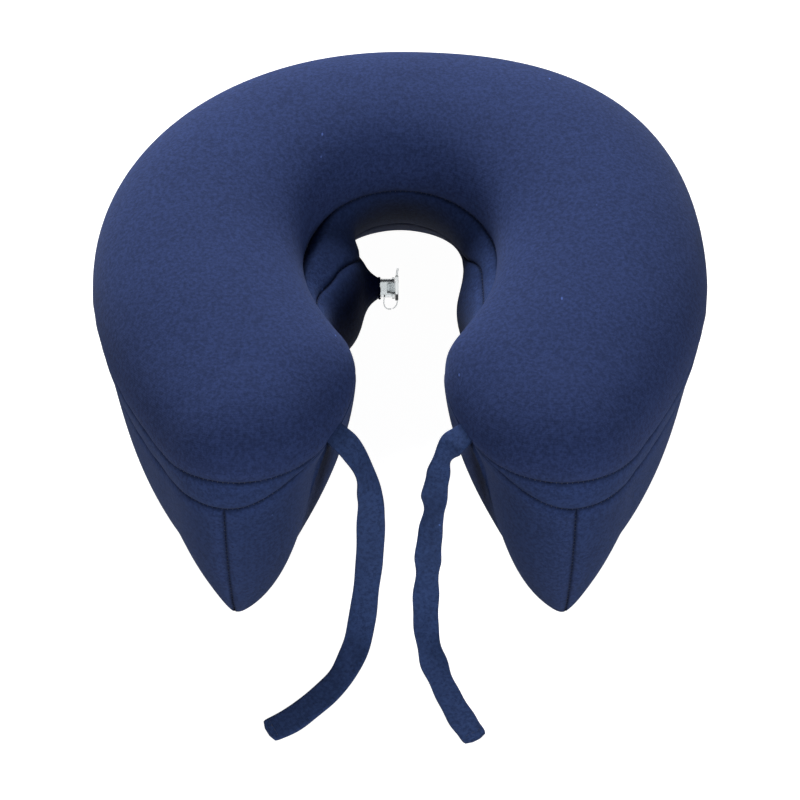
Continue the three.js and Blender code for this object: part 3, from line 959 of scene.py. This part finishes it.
def tether_strip(handles, width, thickness, steps=16):
    """A flat strip that follows a curve given as (x, distance below the axis) handles."""
    t = np.linspace(0, 1, steps)
    flat = bezier([np.array(h, float) for h in handles], t)
    lean = math.radians(TETHER_TURN)
    down = np.array((0, -math.sin(lean), -math.cos(lean)))
    sideways = np.array((0, math.cos(lean), -math.sin(lean)))
    line = flat[:, :1] * np.array((1, 0, 0)) + flat[:, 1:] * down + np.array((0, VALVE_Y, VALVE_Z))
    forward = unit(np.gradient(line, axis=0))
    face = np.cross(forward, sideways)
    x, y = strap_section(16)
    rings = (
        line[:, None] + sideways * (x * width / 2)[None, :, None]
        + face[:, None] * (y * thickness / 2)[None, :, None]
    )
    return rings.reshape(-1, 3), tube_faces(steps, 16)


def joined(name, shapes, material):
    points, faces = [], []
    for shape_points, shape_faces in shapes:
        faces += [tuple(i + len(points) for i in face) for face in shape_faces]
        points += [tuple(p) for p in shape_points]
    piece = new_object(name, np.array(points) * MM, faces, material)
    weld(piece.data)
    rework(piece.data, lambda work: bmesh.ops.recalc_face_normals(work, faces=work.faces))
    return piece


def make_valve(clear, knit_edge):
    """The soft clear stem and its tethered plug, and the raw edge of the cover round the stem."""
    mouth, inner = VALVE_MOUTH_X, VALVE_MOUTH_X - STEM_LENGTH
    seat_x, seat = mouth - SEAT_DEPTH, BORE_RADIUS - 0.9
    stem_ring = rounded([
        (mouth, BORE_RADIUS), (seat_x + 2, BORE_RADIUS), (seat_x + 1.6, seat),
        (seat_x + 0.6, seat), (seat_x + 0.6, BORE_RADIUS), (inner, BORE_RADIUS),
        (inner, STEM_RADIUS), (mouth - 1.4, STEM_RADIUS), (mouth - 1.4, STEM_RADIUS + 0.8),
        (mouth, STEM_RADIUS + 0.8),
    ])
    near_strip = tether_strip(NEAR_TETHER, TETHER_WIDTH, TETHER_THICKNESS)
    stem = joined("valve_tube", [turned_shape(stem_ring), near_strip], clear)
    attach(stem, "stem")
    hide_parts("valve_stem")
    face = mouth + 0.3
    plug_ring = rounded([
        (face - 4.5, 0), (face - 4.5, 2.8), (face, 3.6), (face, 7), (face + 1.8, 7),
        (face + 1.8, 0),
    ])
    far_strip = tether_strip(FAR_TETHER, TETHER_WIDTH, TETHER_THICKNESS)
    tab = tether_strip(PULL_TAB, TAB_WIDTH, TAB_THICKNESS)
    plug = joined("valve_cap", [turned_shape(plug_ring), far_strip, tab], clear)
    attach(plug, "plug")
    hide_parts("valve_plug")
    for node in ("valve_flange", "valve_flap"):
        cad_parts[node].data.materials.clear()
        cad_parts[node].data.materials.append(clear)
        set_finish(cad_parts[node], SLOTS[clear.name])
    make_raw_edge(knit_edge)


def make_raw_edge(material):
    """The cut edge of the knit, curled round the stem, which moves with the stem."""
    turn = np.arange(97) * 2 * math.pi / 96
    radius = HOLE_RADIUS + 0.35 + 0.16 * np.sin(7 * turn) + 0.12 * np.sin(17 * turn + 1)
    x = VALVE_WALL_X + CONE_HEIGHT + 0.25 * np.sin(5 * turn + 0.6) + 0.15 * np.sin(13 * turn)
    line = np.stack([x, VALVE_Y + radius * np.cos(turn), VALVE_Z + radius * np.sin(turn)], -1)
    rings = tube(line[None], 0.5, sides=10)
    faces = tube_faces(len(line), 10, capped=False)
    piece = new_object("valve_cuff_edge", rings.reshape(-1, 3) * MM, faces, material)
    weld(piece.data, 1e-4)
    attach(piece, "stem")


# ---- materials ----

WALE = 0.0011
COURSE = 0.0009


class Finish:
    """A procedural material: one Principled shader and the pattern nodes that feed it."""

    def __init__(self, name, colour, roughness, **constants):
        self.material = bpy.data.materials.new(name)
        self.material.use_nodes = True
        self.tree = self.material.node_tree
        self.shader = self.tree.nodes["Principled BSDF"]
        self.colour = colour
        self.set("Base Color", (*colour, 1))
        self.set("Roughness", roughness)
        for socket, value in constants.items():
            self.set(socket.replace("_", " "), value)

    def set(self, socket, value):
        self.put(self.shader.inputs[socket], value)

    def put(self, socket, value):
        if isinstance(value, bpy.types.NodeSocket):
            self.tree.links.new(value, socket)
        else:
            socket.default_value = value

    def node(self, kind, inputs=None, **settings):
        node = self.tree.nodes.new("ShaderNode" + kind)
        for key, value in settings.items():
            setattr(node, key, value)
        for key, value in (inputs or {}).items():
            self.put(node.inputs[key], value)
        return node

    def math(self, operation, *values):
        node = self.node("Math", operation=operation)
        for socket, value in zip(node.inputs, values):
            self.put(socket, value)
        return node.outputs[0]

    def sum(self, *weighted):
        """The sum of (weight, socket) pairs and plain numbers."""
        total = 0.0
        for item in weighted:
            value = self.math("MULTIPLY", item[1], item[0]) if isinstance(item, tuple) else item
            total = self.math("ADD", value, total)
        return total

    def place(self):
        return self.node("TexCoord").outputs["Object"]

    def noise(self, scale, detail=2.0):
        inputs = {"Vector": self.place(), "Scale": scale, "Detail": detail}
        return self.node("TexNoise", inputs).outputs[0]

    def ramp(self, value, low, high, to_low=0.0, to_high=1.0):
        inputs = {"Value": value, "From Min": low, "From Max": high}
        inputs.update({"To Min": to_low, "To Max": to_high})
        return self.node("MapRange", inputs, interpolation_type="SMOOTHSTEP").outputs[0]

    def tint(self, factor):
        """Makes the base colour lighter or darker by a pattern."""
        inputs = {0: self.colour, "Scale": factor}
        scaled = self.node("VectorMath", inputs, operation="SCALE").outputs[0]
        self.set("Base Color", scaled)

    def relief(self, height, distance, strength=1.0):
        inputs = {"Height": height, "Distance": distance, "Strength": strength}
        self.set("Normal", self.node("Bump", inputs).outputs[0])


def knit(name, colour, has_seams=True):
    """Fine brushed jersey: V-shaped loops, a soft nap, lint, painted shade in the seam creases and
    wear by the seams.
    """
    finish = Finish(
        name, colour, 0.92, Sheen_Weight=0.05, Sheen_Roughness=0.5, Sheen_Tint=(0.5, 0.62, 1, 1),
        Specular_IOR_Level=0.1,
    )
    cloth = finish.node("UVMap", uv_map="cloth").outputs["UV"]
    along = finish.node("SeparateXYZ", {"Vector": cloth}).outputs
    drift = finish.noise(150)
    wale = finish.sum(finish.math("DIVIDE", along[0], WALE), (0.7, drift))
    course = finish.sum(finish.math("DIVIDE", along[1], COURSE), (0.7, drift))
    leg = finish.math("PINGPONG", wale, 0.5)
    column = finish.math("SINE", finish.math("MULTIPLY", leg, 2 * math.pi))
    slanted = finish.sum(course, (1.3, leg))
    rung = finish.math("SINE", finish.math("MULTIPLY", slanted, 2 * math.pi))
    rung = finish.sum(0.5, (0.5, rung))
    loops = finish.math("MULTIPLY", column, finish.sum(0.45, (0.55, rung)))
    nap = finish.noise(1100, 4.0)
    tufts = finish.ramp(finish.noise(520, 3.0), 0.3, 0.7)
    mottle = finish.noise(22, 3.0)
    light = finish.sum(0.12, (0.3, loops), (0.8, nap), (0.4, tufts), (0.24, mottle))
    if has_seams:
        seam = finish.node("Attribute", attribute_name="seam").outputs["Fac"]
        # Painted shade: the knit is darkened to about half within 2 mm of each seam, where shade
        # falls in the crease.
        painted_seam_shade = finish.ramp(seam, 0.0, 0.0019, 0.48, 1.0)
        rubbed = finish.ramp(seam, 0.0015, 0.004)
        worn = finish.math("MULTIPLY", rubbed, finish.ramp(seam, 0.004, 0.010, 0.09, 0))
        light = finish.math("MULTIPLY", light, finish.math("ADD", painted_seam_shade, worn))
    light = finish.math("ADD", light, lint(finish))
    finish.tint(light)
    finish.set("Roughness", finish.sum(0.86, (0.12, nap)))
    finish.relief(finish.sum((0.5, loops), (0.6, nap)), 0.00020)
    return finish.material


def lint(finish):
    """Sparse pale specks and short fibres caught in the nap."""
    inputs = {0: finish.place(), 1: (1, 0.45, 0.8)}
    stretch = finish.node("VectorMath", inputs, operation="MULTIPLY").outputs[0]
    cells = finish.node("TexVoronoi", {"Vector": stretch, "Scale": 95.0})
    chance = finish.node("SeparateXYZ", {"Vector": cells.outputs["Color"]}).outputs[0]
    speck = finish.ramp(cells.outputs["Distance"], 0.03, 0.06, 2.2, 0.0)
    return finish.math("MULTIPLY", speck, finish.math("GREATER_THAN", chance, 0.84))


def thread_finish():
    """Twisted sewing thread, its colour darkened as painted shade for the seam grooves."""
    finish = Finish("thread", THREAD, 0.6, Sheen_Weight=0.2)
    inputs = {"Vector": finish.place(), "Scale": 1400.0, "Distortion": 1.5}
    twist = finish.node("TexWave", inputs, bands_direction="DIAGONAL").outputs[1]
    finish.tint(finish.sum(0.8, (0.5, twist)))
    finish.relief(twist, 0.00008)
    return finish.material


def clear_finish():
    """Soft clear vinyl, faintly clouded and scuffed."""
    finish = Finish("clear_vinyl", CLEAR, 0.12, Transmission_Weight=1.0, IOR=1.45)
    cloud = finish.noise(260, 3.0)
    finish.tint(finish.sum(0.93, (0.1, cloud)))
    finish.set("Roughness", finish.sum(0.05, (0.18, cloud)))
    finish.relief(finish.noise(420), 0.00006)
    return finish.material


def film_finish():
    """Matt vinyl film of the air bladder, with a faint leather-like emboss."""
    finish = Finish("film", FILM, 0.5)
    grain = finish.noise(900, 3.0)
    finish.tint(finish.sum(0.92, (0.16, grain)))
    finish.set("Roughness", finish.sum(0.4, (0.2, grain)))
    finish.relief(grain, 0.00008)
    return finish.material


def floor_finish():
    """Plain white paper, lit from below like a light table, so that shadows on it stay faint."""
    finish = Finish(
        "paper", FLOOR, 0.9, Emission_Color=(1, 1, 1, 1), Emission_Strength=FLOOR_GLOW,
        Specular_IOR_Level=0.0,
    )
    fibre = finish.noise(60, 4.0)
    finish.tint(finish.sum(0.985, (0.03, fibre)))
    return finish.material


# ---- stage ----

def make_camera():
    camera = bpy.data.objects.new("camera", bpy.data.cameras.new("camera"))
    bpy.context.scene.collection.objects.link(camera)
    back = Vector((0, -math.cos(CAMERA_ELEVATION), math.sin(CAMERA_ELEVATION)))
    camera.location = CAMERA_AIM + back * CAMERA_DISTANCE
    camera.rotation_mode = "QUATERNION"
    camera.rotation_quaternion = (-back).to_track_quat("-Z", "Y")
    camera.data.lens = CAMERA_LENS
    camera.data.sensor_width = 36
    bpy.context.scene.camera = camera


def area_light(name, place, aim, power):
    data = bpy.data.lights.new(name, "AREA")
    data.shape = "DISK"
    data.size = LAMP_SIZE
    data.energy = power
    light = bpy.data.objects.new(name, data)
    light.location = place
    light.rotation_mode = "QUATERNION"
    light.rotation_quaternion = (Vector(aim) - Vector(place)).to_track_quat("-Z", "Y")
    bpy.context.scene.collection.objects.link(light)


def make_stage():
    """Floor paper under a large soft lamp above and behind, with two weaker ones in front."""
    corners = np.array([(-1, -1, 0), (1, -1, 0), (1, 1, 0), (-1, 1, 0)]) * FLOOR_HALF
    floor = new_object("floor", corners, [(0, 1, 2, 3)], floor_finish())
    floor.location.z = -FLOOR_DROP
    floor.visible_diffuse = False
    for name, lamp in LAMPS.items():
        area_light(name, *lamp)
    bpy.context.scene.world = make_world()
    bpy.context.scene.view_settings.view_transform = "Standard"


def make_world():
    """A faint even light from above the horizon."""
    world = bpy.data.worlds.new("studio")
    world.use_nodes = True
    nodes, links = world.node_tree.nodes, world.node_tree.links
    direction = nodes.new("ShaderNodeTexCoord").outputs["Generated"]
    parts = nodes.new("ShaderNodeSeparateXYZ")
    strength = nodes.new("ShaderNodeMath")
    strength.operation = "MULTIPLY"
    strength.use_clamp = True
    strength.inputs[1].default_value = WORLD_LIGHT
    links.new(direction, parts.inputs[0])
    links.new(parts.outputs[2], strength.inputs[0])
    links.new(strength.outputs[0], nodes["Background"].inputs["Strength"])
    nodes["Background"].inputs["Color"].default_value = (1, 1, 1, 1)
    return world


# ---- everything together ----

def build():
    make_camera()
    thread = thread_finish()
    tie_knit = knit("tie_knit", NAVY_TIE, has_seams=False)
    make_tie("tie_strap_left", "tie_left", LEFT_TIE_ROUTE, left_tie_shape, tie_knit, thread)
    make_tie("tie_strap_right", "tie_right", RIGHT_TIE_ROUTE, right_tie_shape, tie_knit, thread)
    cover = Cover()
    panels = make_cover(cover, knit("knit_top", NAVY), knit("knit_lower", NAVY_DEEP))
    cut_cuff(panels[-1])
    pillow = [*panels, make_film(cover, film_finish()), *make_threads(cover, thread)]
    for piece in pillow:
        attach(piece, "pillow")
    make_valve(clear_finish(), tie_knit)
    make_stage()


build()
